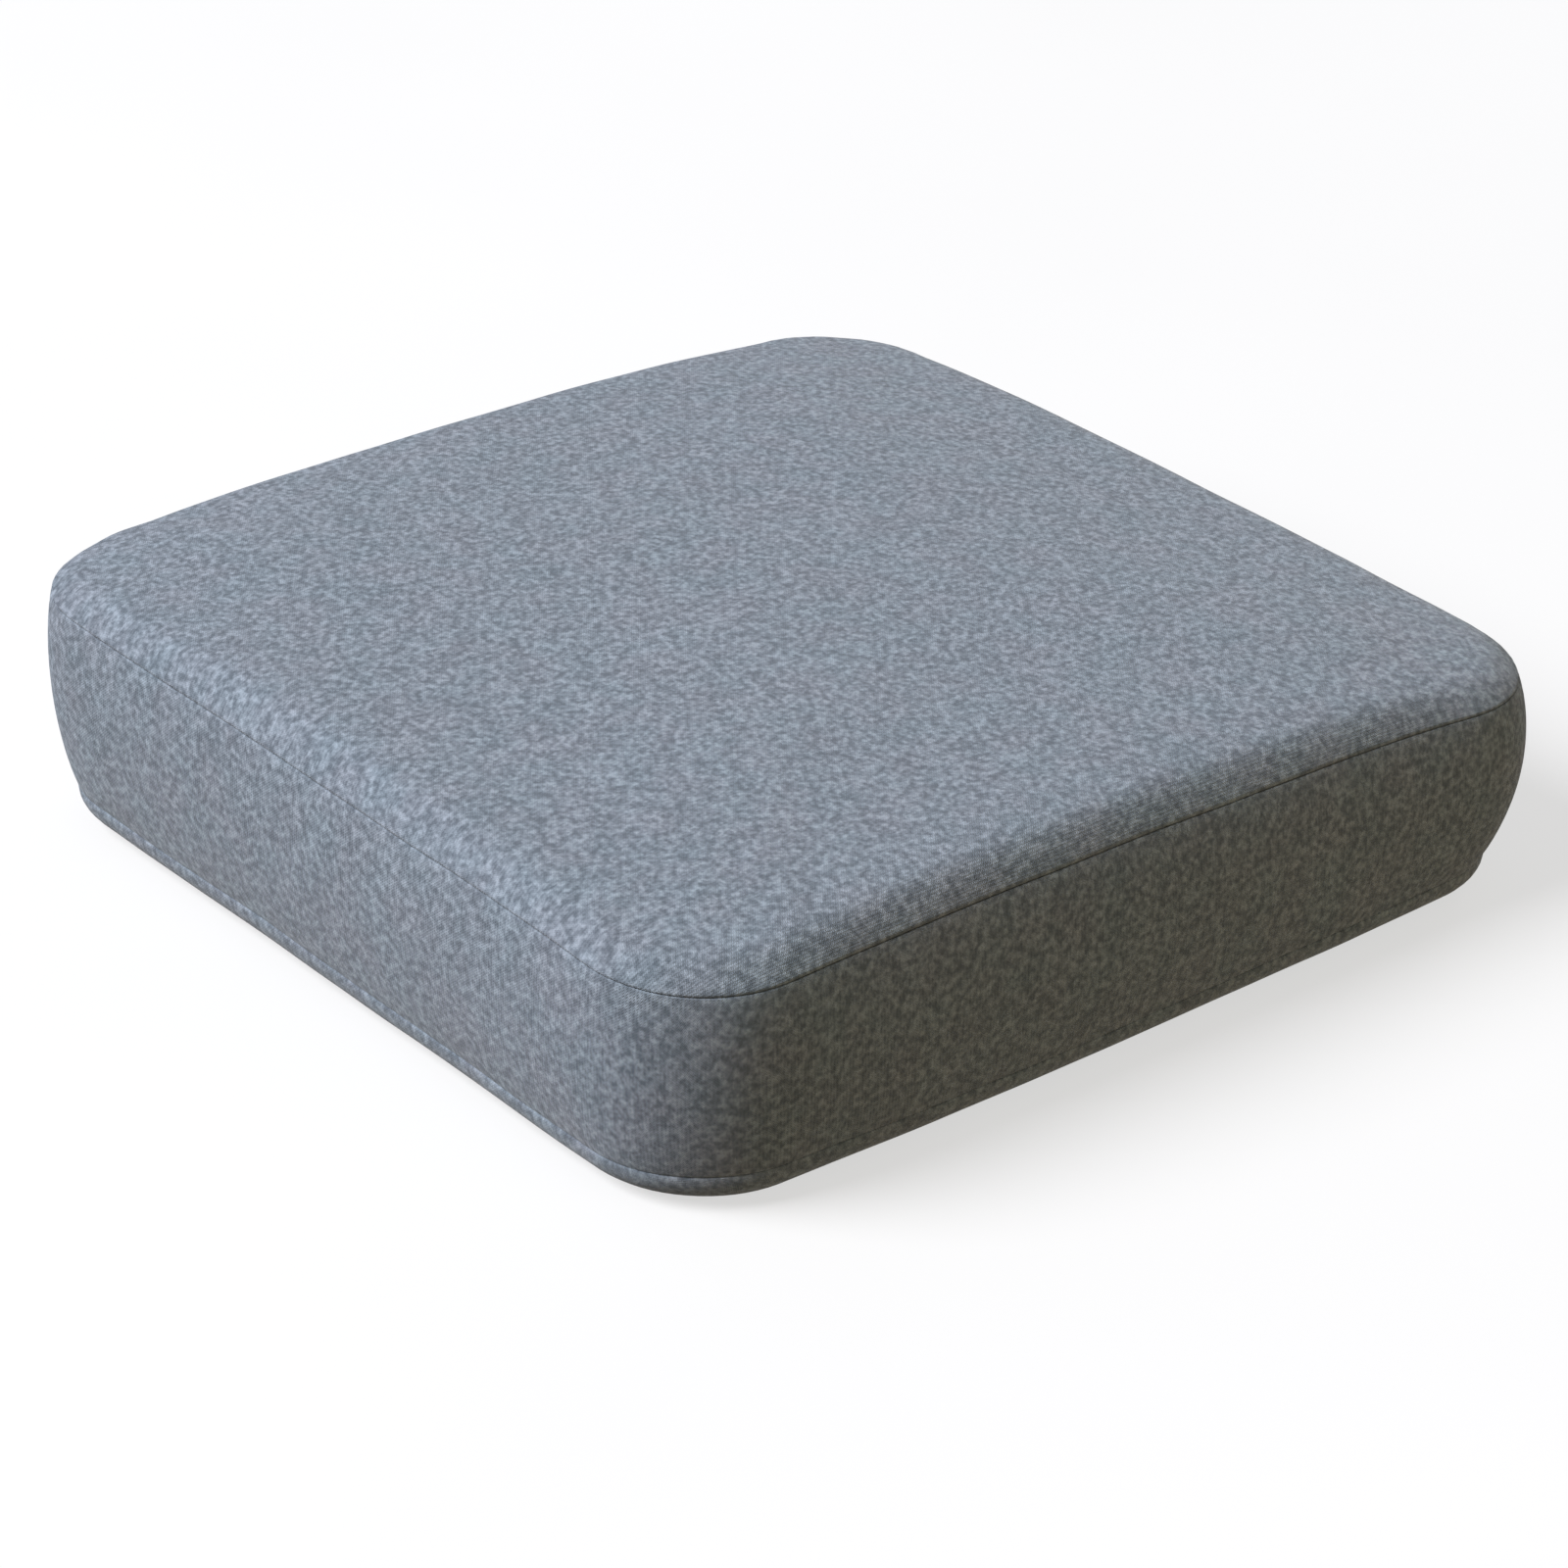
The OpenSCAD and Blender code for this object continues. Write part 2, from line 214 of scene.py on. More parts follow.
# ---- Meshes from grids ----

def edge_of(grid):
    """The grid's outer line of points, once round."""
    return np.concatenate([grid[:-1, 0], grid[-1, :-1], grid[:0:-1, -1], grid[0, :0:-1]])


def with_edge(grid, line):
    """The grid with its outer line of points replaced."""
    n, made = grid.shape[0] - 1, grid.copy()
    made[:-1, 0], made[-1, :-1] = line[:n], line[n:2 * n]
    made[:0:-1, -1], made[0, :0:-1] = line[2 * n:3 * n], line[3 * n:]
    return made


def grid_faces(index, flip=False):
    """The faces between a grid's vertex numbers."""
    a, b, c, d = index[:-1, :-1], index[1:, :-1], index[1:, 1:], index[:-1, 1:]
    return np.stack([a, d, c, b] if flip else [a, b, c, d], axis=-1).reshape(-1, 4)


def closed(rows):
    """Rows round the ring with the first column repeated at the end."""
    return np.concatenate([rows, rows[:, :1]], axis=1)


def wrapped(rows):
    """Rows round the ring three times over, to sample across the join."""
    return np.concatenate([rows, rows, rows], axis=1)


def closed_skin(top, strip, bottom):
    """One closed mesh of a top grid, a strip of rows and a bottom grid that share their
    edges: its points, its faces and each one's vertex numbers."""
    n = top.shape[0]
    top_ids = np.arange(n * n).reshape(n, n)
    bottom_ids = top_ids + n * n
    middle = 2 * n * n + np.arange(strip[1:-1, :, 0].size).reshape(-1, strip.shape[1])
    strip_ids = np.concatenate([edge_of(top_ids)[None], middle, edge_of(bottom_ids)[None]])
    points = np.concatenate([g.reshape(-1, 3) for g in (top, bottom, strip[1:-1])])
    faces = [grid_faces(top_ids), grid_faces(bottom_ids, flip=True),
             grid_faces(closed(strip_ids))]
    return points, np.concatenate(faces), (top_ids, strip_ids, bottom_ids)


def new_piece(name, points, faces, uv=None):
    """A smooth mesh object. uv gives each point its place on the cloth before sewing."""
    mesh = bpy.data.meshes.new(name)
    mesh.from_pydata(np.asarray(points).tolist(), [], [list(f) for f in faces])
    mesh.polygons.foreach_set("use_smooth", [True] * len(mesh.polygons))
    if uv is not None:
        layer = mesh.uv_layers.new(name="cut")
        corners = np.zeros(len(mesh.loops), int)
        mesh.loops.foreach_get("vertex_index", corners)
        layer.data.foreach_set("uv", np.asarray(uv, np.float32)[corners].ravel())
    mesh.update()
    piece = bpy.data.objects.new(name, mesh)
    bpy.context.scene.collection.objects.link(piece)
    return piece


def finish_piece(piece, material, slot, *nodes, fill=None):
    """Gives a piece its material and its body, and hides the CAD nodes that it stands for."""
    piece.data.materials.append(material)
    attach(piece, "pad")
    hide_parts(*nodes)


# ---- Cloth simulation and settling ----

def swell(points, faces, pinned):
    """Blows the skin up with Blender's cloth, held at its seams and underneath."""
    skin = new_piece("skin", points, faces.tolist())
    skin.vertex_groups.new(name="held").add([int(v) for v in pinned], 1.0, "REPLACE")
    cloth = skin.modifiers.new("cloth", "CLOTH")
    settings = cloth.settings
    settings.vertex_group_mass = "held"
    settings.quality = 6
    settings.mass = 0.3
    settings.tension_stiffness = 15
    settings.compression_stiffness = 15
    settings.shear_stiffness = 5
    settings.bending_stiffness = 0.5
    settings.use_pressure = True
    settings.uniform_pressure_force = 4
    settings.effector_weights.gravity = 0
    cloth.point_cache.frame_start = 1
    cloth.point_cache.frame_end = SIM_FRAMES
    for step in range(1, SIM_FRAMES + 1):
        bpy.context.scene.frame_set(step)
    shown = skin.evaluated_get(bpy.context.evaluated_depsgraph_get())
    swollen = np.zeros(len(points) * 3)
    shown.to_mesh().vertices.foreach_get("co", swollen)
    bpy.data.objects.remove(skin)
    bpy.context.scene.frame_set(1)
    return swollen.reshape(-1, 3)


def smoothstep(x, low, high):
    """0 up to low, 1 from high on, and a smooth rise between."""
    t = np.clip((x - low) / (high - low), 0, 1)
    return t * t * (3 - 2 * t)


def zip_hold(p):
    """1 where the zip keeps the rear side flat and in its place, 0 well away from it."""
    near = 1 - smoothstep(np.abs(p[..., 2] - ZIP_Z), *ZIP_HOLD_Z)
    beyond = smoothstep(np.abs(p[..., 0]), *ZIP_HOLD_X)
    return near * (1 - beyond) * smoothstep(p[..., 1], *ZIP_HOLD_Y)


def waver(p):
    """Slow uneven waves in the cloth. This noise isn't seeded, so they differ from run to run."""
    total = np.zeros(p.shape)
    for size, height in WAVES:
        for at in np.ndindex(p.shape[:-1]):
            total[at] += height * np.array(noise.noise_vector(Vector(p[at] / size)))
    total[..., 2] *= smoothstep(p[..., 2], 0, BOTTOM_SEAM_Z)
    return total


def settle(p):
    """How the filled pad sits: its sides full, its top's corners sunk, drawn in towards the
    bottom, and a little uneven. Its right rear corner bulges twice as far as the rest."""
    free = 1 - zip_hold(p)
    up = np.clip((p[..., 2] - BOTTOM_SEAM_Z) / (TOP_SEAM_Z - BOTTOM_SEAM_Z), 0, 1)
    above = np.clip((p[..., 2] - TOP_SEAM_Z) / (EDGE_Z - TOP_SEAM_Z), 0, 1)
    right = smoothstep(p[..., 0], HALF / 2, HALF)
    rear = smoothstep(p[..., 1], HALF / 2, HALF)
    full = 1 + UNEVEN * (p[..., 0] + p[..., 1]) / (2 * HALF) + right * rear
    belly = BELLY * right * np.clip(1 - (p[..., 1] / HALF) ** 2, 0, 1)
    out = (SIDE_BULGE * full * 4 * up * (1 - up) + FULL_CORNER * right * rear * up
           + (belly - TAPER) * (1 - up)) * free
    rise = (LIFT_X * p[..., 0] + LIFT_Y * p[..., 1]) * p[..., 2] / TOP_Z * free
    corner = np.clip(np.abs(p[..., 0] * p[..., 1]) / HALF ** 2, 0, 1) ** DROOP_POWER
    settled = p + waver(p) * free[..., None]
    settled[..., :2] *= (1 + out / HALF)[..., None]
    drop = (CORNER_DROOP - SEAM_DROOP * right) * above + SEAM_DROOP * right * up ** 2
    settled[..., 2] += rise - drop * corner - REAR_SAG * rear * above
    return settled


def swollen_patches():
    """The top, the strip round the sides and the bottom of the filled cover."""
    top, strip = flat_grid(TOP_ROLL, EDGE_Z), strip_rest()
    bottom = flat_grid(BOTTOM_ROLL, DOT_H)
    points, faces, (top_ids, strip_ids, bottom_ids) = closed_skin(top, strip, bottom)
    moved = np.zeros_like(points)
    low = np.concatenate([strip_ids[BOTTOM_SEAM:].ravel(), bottom_ids.ravel()])
    moved = swell(points, faces, np.concatenate([strip_ids[TOP_SEAM], low])) - points
    up, out = moved[top_ids], moved[strip_ids]
    out[TOP_SEAM:] *= SWELL / max(np.abs(out[TOP_SEAM:, :, :2]).max(), 1e-9)
    out[:TOP_SEAM] *= CROWN / up[..., 2].max()
    out *= (1 - zip_hold(strip))[..., None]
    up *= CROWN / up[..., 2].max()
    return settle(top + up), settle(strip + out), settle(bottom)


# ---- Sampling the strip ----

def normals(p):
    """The unit normals of a grid of points."""
    n = np.cross(np.gradient(p, axis=0), np.gradient(p, axis=1))
    return n / np.maximum(np.linalg.norm(n, axis=-1, keepdims=True), 1e-12)


def sample(strip, rows, columns):
    """The strip's points and outward normals where these rows and columns cross."""
    around = cubic(wrapped(strip).swapaxes(0, 1), np.asarray(columns) + RING).swapaxes(0, 1)
    points = cubic(around, rows)
    return points, normals(points)


def sample_round(strip, rows):
    """The same all the way round the ring."""
    points, outward = sample(strip, rows, np.arange(-1, RING + 1))
    return points[:, 1:-1], outward[:, 1:-1]


def row_of(z):
    """The strip's row at a height on the side band."""
    return TOP_SEAM + (TOP_SEAM_Z - z) / ROW_STEP


def places(low, high, step, near=(0,), far=(0,)):
    """Places from low to high: a step apart, with near and far listing how far in from each
    end the closer ones beside a seam lie."""
    inner = np.linspace(low, high, max(2, round((high - low) / step)) + 1)
    clear = (inner > low + near[-1] + step / 3) & (inner < high - far[-1] - step / 3)
    return np.concatenate([low + np.array(near), inner[clear], high - np.array(far)[::-1]])


# ---- Cross-sections beside a seam: (distance from it, depth below the cloth's face) ----

PINCH = np.array([(0, 1.15), (0.12, 0.72), (0.35, 0.46), (0.8, 0.26), (1.4, 0.13), (2.4, 0.05),
                  (4.0, 0.01), (6.0, 0.0)]) / 1000
SIDE_PINCH = np.array([(0, 1.15), (0.12, 0.74), (0.35, 0.58), (0.8, 0.48), (1.6, 0.38),
                       (3.0, 0.27), (5.0, 0.15), (8.0, 0.05), (12.0, 0.0)]) / 1000
ALLOWANCE = np.array([(0, 3.6), (0.8, 3.6), (1.4, 3.0), (2.4, 2.1), (4.0, 1.7),
                      (6.0, 1.6)]) / 1000
HEM = np.array([(0, 1.3), (0.1, 0.8), (0.35, 0.4), (0.8, 0.12), (1.6, 0.0), (2.3, 0.0),
                (2.7, 0.15), (3.0, 0.28), (3.3, 0.15), (3.7, 0.0)]) / 1000
HEM_BACK = np.array([(0, 1.9), (0.1, 2.4), (0.35, 2.8), (0.8, 3.1), (1.6, 3.2), (9.5, 3.2),
                     (10.5, 1.6)]) / 1000
SEAM_GAP = 0.00010       # between the two cloths of a seam, so that they never cross


def depth(section, *distances):
    """How deep a section lies: the deepest of its values beside any of several seams."""
    return np.maximum.reduce([np.interp(d, section[:, 0], section[:, 1]) for d in distances])


def beside(section, step):
    """The places of a section's corners, in grid steps in from the seam."""
    return (section[:, 0] + SEAM_GAP) / step


def doubled(points, outward, outer, inner):
    """The cloth's face and its back, as one list of points."""
    front = points - outward * outer[..., None]
    back = points - outward * inner[..., None]
    return np.concatenate([front.reshape(-1, 3), back.reshape(-1, 3)])


def rim_faces(rim, count, flip=False):
    """Faces that join the cloth's face to its back along a line of its vertices."""
    after = np.roll(rim, -1)
    quads = [after, after + count, rim + count, rim] if flip else [rim, rim + count,
                                                                   after + count, after]
    return np.stack(quads, axis=-1)


# ---- The cover ----

def cover_panel(name, grid, roll, strip, low_row, high_row, step, material):
    """The top panel, or the bottom one: its flat part and its roll, down to the seam."""
    is_top = low_row == 0
    seam = beside(PINCH, step)
    ends = {"far": seam} if is_top else {"near": seam}
    rows = places(low_row, high_row, MESH_STEP, **ends)
    face, outward = sample_round(strip, rows)
    flat_row, seam_row = (0, -1) if is_top else (-1, 0)
    grid_out = with_edge(normals(grid) * (1 if is_top else -1), outward[flat_row])
    points = np.concatenate([grid.reshape(-1, 3), np.delete(face, flat_row, 0).reshape(-1, 3)])
    away = np.concatenate([grid_out.reshape(-1, 3),
                           np.delete(outward, flat_row, 0).reshape(-1, 3)])
    grid_ids = np.arange(grid[..., 0].size).reshape(grid.shape[:2])
    ids = grid_ids.size + np.arange((len(rows) - 1) * RING).reshape(-1, RING)
    ids = np.insert(ids, 0 if is_top else len(ids), edge_of(grid_ids), axis=0)
    from_seam = np.full(len(points), 1.0)
    from_seam[ids] = (np.abs(rows - rows[seam_row]) * step)[:, None]
    laid = np.zeros((len(points), 2))
    flat = flat_grid(roll, 0)
    laid[grid_ids] = flat[..., :2]
    for row, place in enumerate(rows):
        if row != flat_row % len(rows):
            radius = CORNER_R - roll + abs(place - rows[flat_row]) * step
            laid[ids[row]] = [ring_point(c, ARC_X, radius, SPLIT) for c in range(RING)]
    both = doubled(points, away, depth(PINCH, from_seam), depth(ALLOWANCE, from_seam))
    skin = np.concatenate([grid_faces(grid_ids, flip=not is_top), grid_faces(closed(ids))])
    faces = np.concatenate([skin, skin[:, ::-1] + len(points),
                            rim_faces(ids[seam_row], len(points), flip=not is_top)])
    piece = new_piece(name, both, faces.tolist(), np.concatenate([laid, laid]))
    finish_piece(piece, material, "knit_fabric", name, fill=0.9)


def cover_side(name, strip, first, last, low_row, high_row, hem, material):
    """A piece of the side from one vertical seam to another, between two rows. hem is "low"
    or "high" where that edge is a hem beside the zip and not a seam."""
    seam, fold = beside(SIDE_PINCH, ROW_STEP), beside(HEM, ROW_STEP)
    rows = places(low_row, high_row, MESH_STEP, fold if hem == "low" else seam,
                  fold if hem == "high" else seam)
    end = beside(PINCH, COLUMN_STEP)
    columns = places(first, last, MESH_STEP, end, end)
    face, outward = sample(strip, rows, columns)
    across, down = np.meshgrid(columns, rows)
    edges = {"low": (down - low_row) * ROW_STEP, "high": (high_row - down) * ROW_STEP}
    level = [edges[e] for e in edges if e != hem]
    upright = [(across - first) * COLUMN_STEP, (last - across) * COLUMN_STEP]
    outer = np.maximum(depth(SIDE_PINCH, *level), depth(PINCH, *upright))
    inner = depth(ALLOWANCE, *level, *upright)
    if hem:
        outer = np.maximum(outer, depth(HEM, edges[hem]))
        inner = np.maximum(inner, depth(HEM_BACK, edges[hem]))
    laid = np.stack([across * COLUMN_STEP, -down * ROW_STEP], axis=-1).reshape(-1, 2)
    ids = np.arange(down.size).reshape(down.shape)
    skin = grid_faces(ids)
    faces = np.concatenate([skin, skin[:, ::-1] + ids.size, rim_faces(edge_of(ids), ids.size)])
    both = doubled(face, outward, outer, inner)
    piece = new_piece(name, both, faces.tolist(), np.concatenate([laid, laid]))
    finish_piece(piece, material, "knit_fabric", name, fill=0.9)


END_RIGHT = (2 + (1 - SPLIT) / 2) * CELLS          # columns of the seams at the zip's ends
END_LEFT = (3 - (1 - SPLIT) / 2) * CELLS


def cover(top, strip, bottom, knit):
    """The cover's five pieces."""
    cover_panel("top_panel", top, TOP_ROLL, strip, 0, TOP_SEAM, TOP_STEP, knit)
    cover_panel("bottom_panel", bottom, BOTTOM_ROLL, strip, BOTTOM_SEAM, LAST_ROW,
                BOTTOM_STEP, knit)
    cover_side("side_band", strip, END_LEFT, END_RIGHT + RING, TOP_SEAM, BOTTOM_SEAM, None,
               knit)
    cover_side("rear_placket_upper", strip, END_RIGHT, END_LEFT, TOP_SEAM,
               row_of(HEM_HIGH_Z), "high", knit)
    cover_side("rear_placket_lower", strip, END_RIGHT, END_LEFT, row_of(HEM_LOW_Z),
               BOTTOM_SEAM, "low", knit)


# ---- The filling ----

LINER_DEPTH = 0.0062     # below the cover's face
LINER_T = 0.0006
FOAM_DEPTH = 0.0070
CORE_STEP = 3            # the filling takes every third point of a patch
CORE_ROWS = 18           # rows of points round the sides
SOFT_ROWS = 8
FIRM_ROWS = 14
FOAM_GAP = 0.02          # rows left clear on each side of the cut between the two foams


def sunk(top, strip, bottom, below):
    """The three patches moved in from the cover's face, as coarser ones that still meet."""
    rows, outward = sample_round(strip, np.linspace(0, LAST_ROW, CORE_ROWS))
    rows = (rows - outward * below)[:, ::CORE_STEP]
    top_in = (top - normals(top) * below)[::CORE_STEP, ::CORE_STEP]
    bottom_in = (bottom + normals(bottom) * below)[::CORE_STEP, ::CORE_STEP]
    return with_edge(top_in, rows[0]), rows, with_edge(bottom_in, rows[-1])


def cut_face(grid, line):
    """A flat sawn face of the foam: the panel's grid, brought to a line round the side."""
    face = grid.copy()
    face[..., :2] *= np.abs(line[:, :2]).max() / np.abs(edge_of(grid)[:, :2]).max()
    face[..., 2] = line[:, 2].mean()
    return with_edge(face, line)


def filling(top, strip, bottom, firm, soft, liner):
    """The two layers of foam, and the thin liner between them and the cover."""
    core_top, core, core_bottom = sunk(top, strip, bottom, FOAM_DEPTH)
    split = row_of(FOAM_SPLIT_Z) / LAST_ROW * (len(core) - 1)
    upper = cubic(core, np.linspace(0, split - FOAM_GAP, SOFT_ROWS))
    lower = cubic(core, np.linspace(split + FOAM_GAP, len(core) - 1, FIRM_ROWS))
    for name, skin, made, slot in (
            ("foam_comfort_layer", (core_top, upper, cut_face(core_top, upper[-1])), soft,
             "foam_soft"),
            ("foam_base", (cut_face(core_top, lower[0]), lower, core_bottom), firm,
             "foam_firm")):
        points, faces, _ = closed_skin(*skin)
        finish_piece(new_piece(name, points, faces.tolist()), made, slot, name, fill=1.0)
    outside, faces, _ = closed_skin(*sunk(top, strip, bottom, LINER_DEPTH))
    inside, _, _ = closed_skin(*sunk(top, strip, bottom, LINER_DEPTH + LINER_T))
    both = np.concatenate([faces, faces[:, ::-1] + len(outside)]).tolist()
    finish_piece(new_piece("foam_liner", np.concatenate([outside, inside]), both), liner,
                 "liner", "foam_liner", fill=0.9)


# ---- Stitches ----

STITCH_LENGTH = 0.7      # of the pitch
STITCH_RINGS = 6
STITCH_SIDES = 6
SEAM_STITCH = (0.003, -0.0015, 0.0024)   # pitch, how high it stands, how deep its ends dive
SEAM_THREAD = 0.0005
TOP_STITCH = (0.004, -0.0001, 0.0012)
TOP_THREAD = 0.0006
TOP_STITCH_INSET = 0.004                 # from the zip's ends to the topstitching
BESIDE_SEAM = 0.9                        # rows from an end seam's ends to the level seams
BESIDE_HEM = 0.2                         # and to the hems
NEARBY = np.array([-0.2, 0, 0.2])        # steps beside a line, to sample its normals


def stitches(name, runs, thick, material):
    """Rows of short stitches as one piece. A run is (line of points, outward normals, pitch,
    how high a stitch stands, how deep its ends dive), and thick is the thread's diameter."""
    points, faces = [], []
    for line, outward, pitch, high, deep in runs:
        steps = np.linalg.norm(np.diff(line, axis=0), axis=1)
        along = np.concatenate([[0], np.cumsum(steps)])
        count = max(1, round(along[-1] / pitch))
        for s in range(count):
            t = np.linspace(-1, 1, STITCH_RINGS)
            at = (s + 0.5 + t * STITCH_LENGTH / 2) / count * along[-1]
            centre = np.stack([np.interp(at, along, line[:, k]) for k in range(3)], axis=-1)
            out = np.stack([np.interp(at, along, outward[:, k]) for k in range(3)], axis=-1)
            out /= np.linalg.norm(out, axis=1, keepdims=True)
            centre += out * (high - (high + deep) * t ** 4)[:, None]
            forward = np.gradient(centre, axis=0)
            forward /= np.linalg.norm(forward, axis=1, keepdims=True)
            across = np.cross(forward, out)
            across /= np.linalg.norm(across, axis=1, keepdims=True)
            up = np.cross(across, forward)
            radius = thick / 2 * np.sqrt(1 - 0.75 * t ** 6)
            first = sum(len(p) for p in points)
            turns = np.arange(STITCH_SIDES) / STITCH_SIDES * 2 * math.pi
            spokes = (across[:, None] * np.cos(turns)[:, None]
                      + up[:, None] * np.sin(turns)[:, None])
            points.append((centre[:, None] + spokes * radius[:, None, None]).reshape(-1, 3))
            ids = first + np.arange(STITCH_RINGS * STITCH_SIDES).reshape(STITCH_RINGS, -1)
            round_ids = np.concatenate([ids, ids[:, :1]], axis=1)
            faces += grid_faces(round_ids, flip=True).tolist()
            faces += [ids[0].tolist(), ids[-1, ::-1].tolist()]
    finish_piece(new_piece(name, np.concatenate(points), faces), material, "thread", name)


def along_row(strip, row, columns):
    """Points and outward normals along a row of the strip."""
    points, outward = sample(strip, row + NEARBY, columns)
    return points[1], outward[1]


def down_column(strip, rows, column):
    """The same down a column of it."""
    points, outward = sample(strip, rows, column + NEARBY)
    return points[:, 1], outward[:, 1]


def threads(strip, grey, pale):
    """The threads in the cover's seams, and the topstitching along the zip."""
    loop = np.linspace(0, RING, 4 * RING + 1)
    for name, row in (("top_seam_thread", TOP_SEAM), ("bottom_seam_thread", BOTTOM_SEAM)):
        stitches(name, [(*along_row(strip, row, loop), *SEAM_STITCH)], SEAM_THREAD, grey)
    runs = []
    for column in (END_RIGHT, END_LEFT):
        for low, high in ((TOP_SEAM + BESIDE_SEAM, row_of(HEM_HIGH_Z) - BESIDE_HEM),
                          (row_of(HEM_LOW_Z) + BESIDE_HEM, BOTTOM_SEAM - BESIDE_SEAM)):
            rows = np.linspace(low, high, 30)
            runs.append((*down_column(strip, rows, column), *SEAM_STITCH))
    stitches("placket_end_threads", runs, SEAM_THREAD, grey)
    inset = TOP_STITCH_INSET / COLUMN_STEP
    between = np.linspace(END_RIGHT + inset, END_LEFT - inset, 200)
    for name, z in (("zip_topstitch_upper", STITCH_HIGH_Z), ("zip_topstitch_lower", STITCH_LOW_Z)):
        stitches(name, [(*along_row(strip, row_of(z), between), *TOP_STITCH)], TOP_THREAD, pale)


# ---- Care label ----

LABEL_T = 0.0003
LABEL_CURL = 0.0032      # how far its free edge stands off the cover
LABEL_CLEAR = 0.0004     # between it and the cover
LABEL_TUCK = 0.0012      # how far its top dives into the seam
LABEL_TOP = 0.12         # rows below the seam where it begins
LABEL_OUT = 0.12         # share of its height over which it comes out of the seam


def care_label(strip, satin):
    """A blank satin tab, caught in the top seam and hanging down the rear."""
    width, drop = LABEL_HIGH.x - LABEL_LOW.x, LABEL_HIGH.z - LABEL_LOW.z
    across, down = np.linspace(0, 1, 19), np.linspace(0, 1, 15)
    columns = 2.5 * CELLS - (LABEL_HIGH.x - across * width) / COLUMN_STEP
    face, outward = sample(strip, TOP_SEAM + LABEL_TOP + down * drop / ROW_STEP, columns)
    u, v = np.meshgrid(across, down)
    curl = LABEL_CURL * v ** 2 * (0.65 + 0.35 * np.cos(2.6 * math.pi * (u - 0.25)))
    stand = LABEL_T + LABEL_CLEAR - LABEL_TUCK * (1 - smoothstep(v, 0, LABEL_OUT)) + curl
    ids = np.arange(u.size).reshape(u.shape)
    skin = grid_faces(ids)
    faces = np.concatenate([skin, skin[:, ::-1] + ids.size, rim_faces(edge_of(ids), ids.size)])
    both = doubled(face, outward, -stand, LABEL_T - stand)
    piece = new_piece("care_label", both, faces.tolist())
    finish_piece(piece, satin, "label", "care_label")


# ---- Node helpers ----

def add(tree, kind, sockets=None, **settings):
    """A shader node. sockets gives each input a value, or another node's output."""
    made = tree.nodes.new("ShaderNode" + kind)
    for key, value in settings.items():
        setattr(made, key, value)
    for key, value in (sockets or {}).items():
        if isinstance(value, bpy.types.NodeSocket):
            tree.links.new(value, made.inputs[key])
        else:
            made.inputs[key].default_value = value
    return made


def maths(tree, operation, first, second=0.0):
    return add(tree, "Math", {0: first, 1: second}, operation=operation).outputs[0]


def weighted(tree, *parts):
    """The sum of several outputs, each given with its weight."""
    total = None
    for output, weight in reversed(parts):
        part = maths(tree, "MULTIPLY", output, weight)
        total = part if total is None else maths(tree, "ADD", part, total)
    return total


def mix(tree, share, first, second, blend="MIX"):
    """A share of the second colour over the first. Each is a colour or another node's output."""
    made = add(tree, "Mix", {"Factor": share}, data_type="RGBA", blend_type=blend)
    for key, value in ((6, first), (7, second)):
        if isinstance(value, bpy.types.NodeSocket):
            tree.links.new(value, made.inputs[key])
        else:
            made.inputs[key].default_value = (*value, 1)
    return made.outputs[2]


def noise_at(tree, where, scale, detail, roughness=0.5):
    sockets = {"Vector": where, "Scale": scale, "Detail": detail, "Roughness": roughness}
    return add(tree, "TexNoise", sockets).outputs["Fac"]


def stretched(tree, where, scale):
    return add(tree, "VectorMath", {0: where, 1: scale}, operation="MULTIPLY").outputs[0]


def spread(tree, value, low, high):
    """The value from low to high, stretched to 0 to 1."""
    return add(tree, "MapRange", {"Value": value, 1: low, 2: high}).outputs[0]


def material(name, **surface):
    """A new material, its tree, its surface shader and the object's coordinates."""
    made = bpy.data.materials.new(name)
    made.use_nodes = True
    tree = made.node_tree
    shader = tree.nodes["Principled BSDF"]
    for key, value in surface.items():
        shader.inputs[key.replace("_", " ")].default_value = value
    where = add(tree, "TexCoord").outputs
    return made, tree, shader, where


def link(tree, output, shader, key):
    tree.links.new(output, shader.inputs[key])


def bump(tree, shader, height, distance, strength):
    sockets = {"Height": height, "Distance": distance, "Strength": strength}
    link(tree, add(tree, "Bump", sockets).outputs[0], shader, "Normal")


# ---- Materials ----

KNIT_DARK = (0.128, 0.154, 0.185)
KNIT_LIGHT = (0.342, 0.397, 0.460)
KNIT_COOL = (0.975, 1.005, 1.015)
KNIT_WARM = (1.03, 0.99, 1.00)
SPECKLE = 365            # dark and light fibres per metre
FINE_SPECKLE = 2.3       # times as many small ones
SPECKLE_TURN = (0.6, 0.5, 0.4)           # keeps the noise's own grid off the pad's flat sides
STREAKS = (1300, 430, 1)                 # short streaks per metre across and along the wales
FUZZ = 1900              # loose fibre ends per metre
PATCHES = 48             # slow changes of tint per metre
WALE = 0.0013            # width of a column of knit stitches
COURSE = 0.0010          # height of a stitch


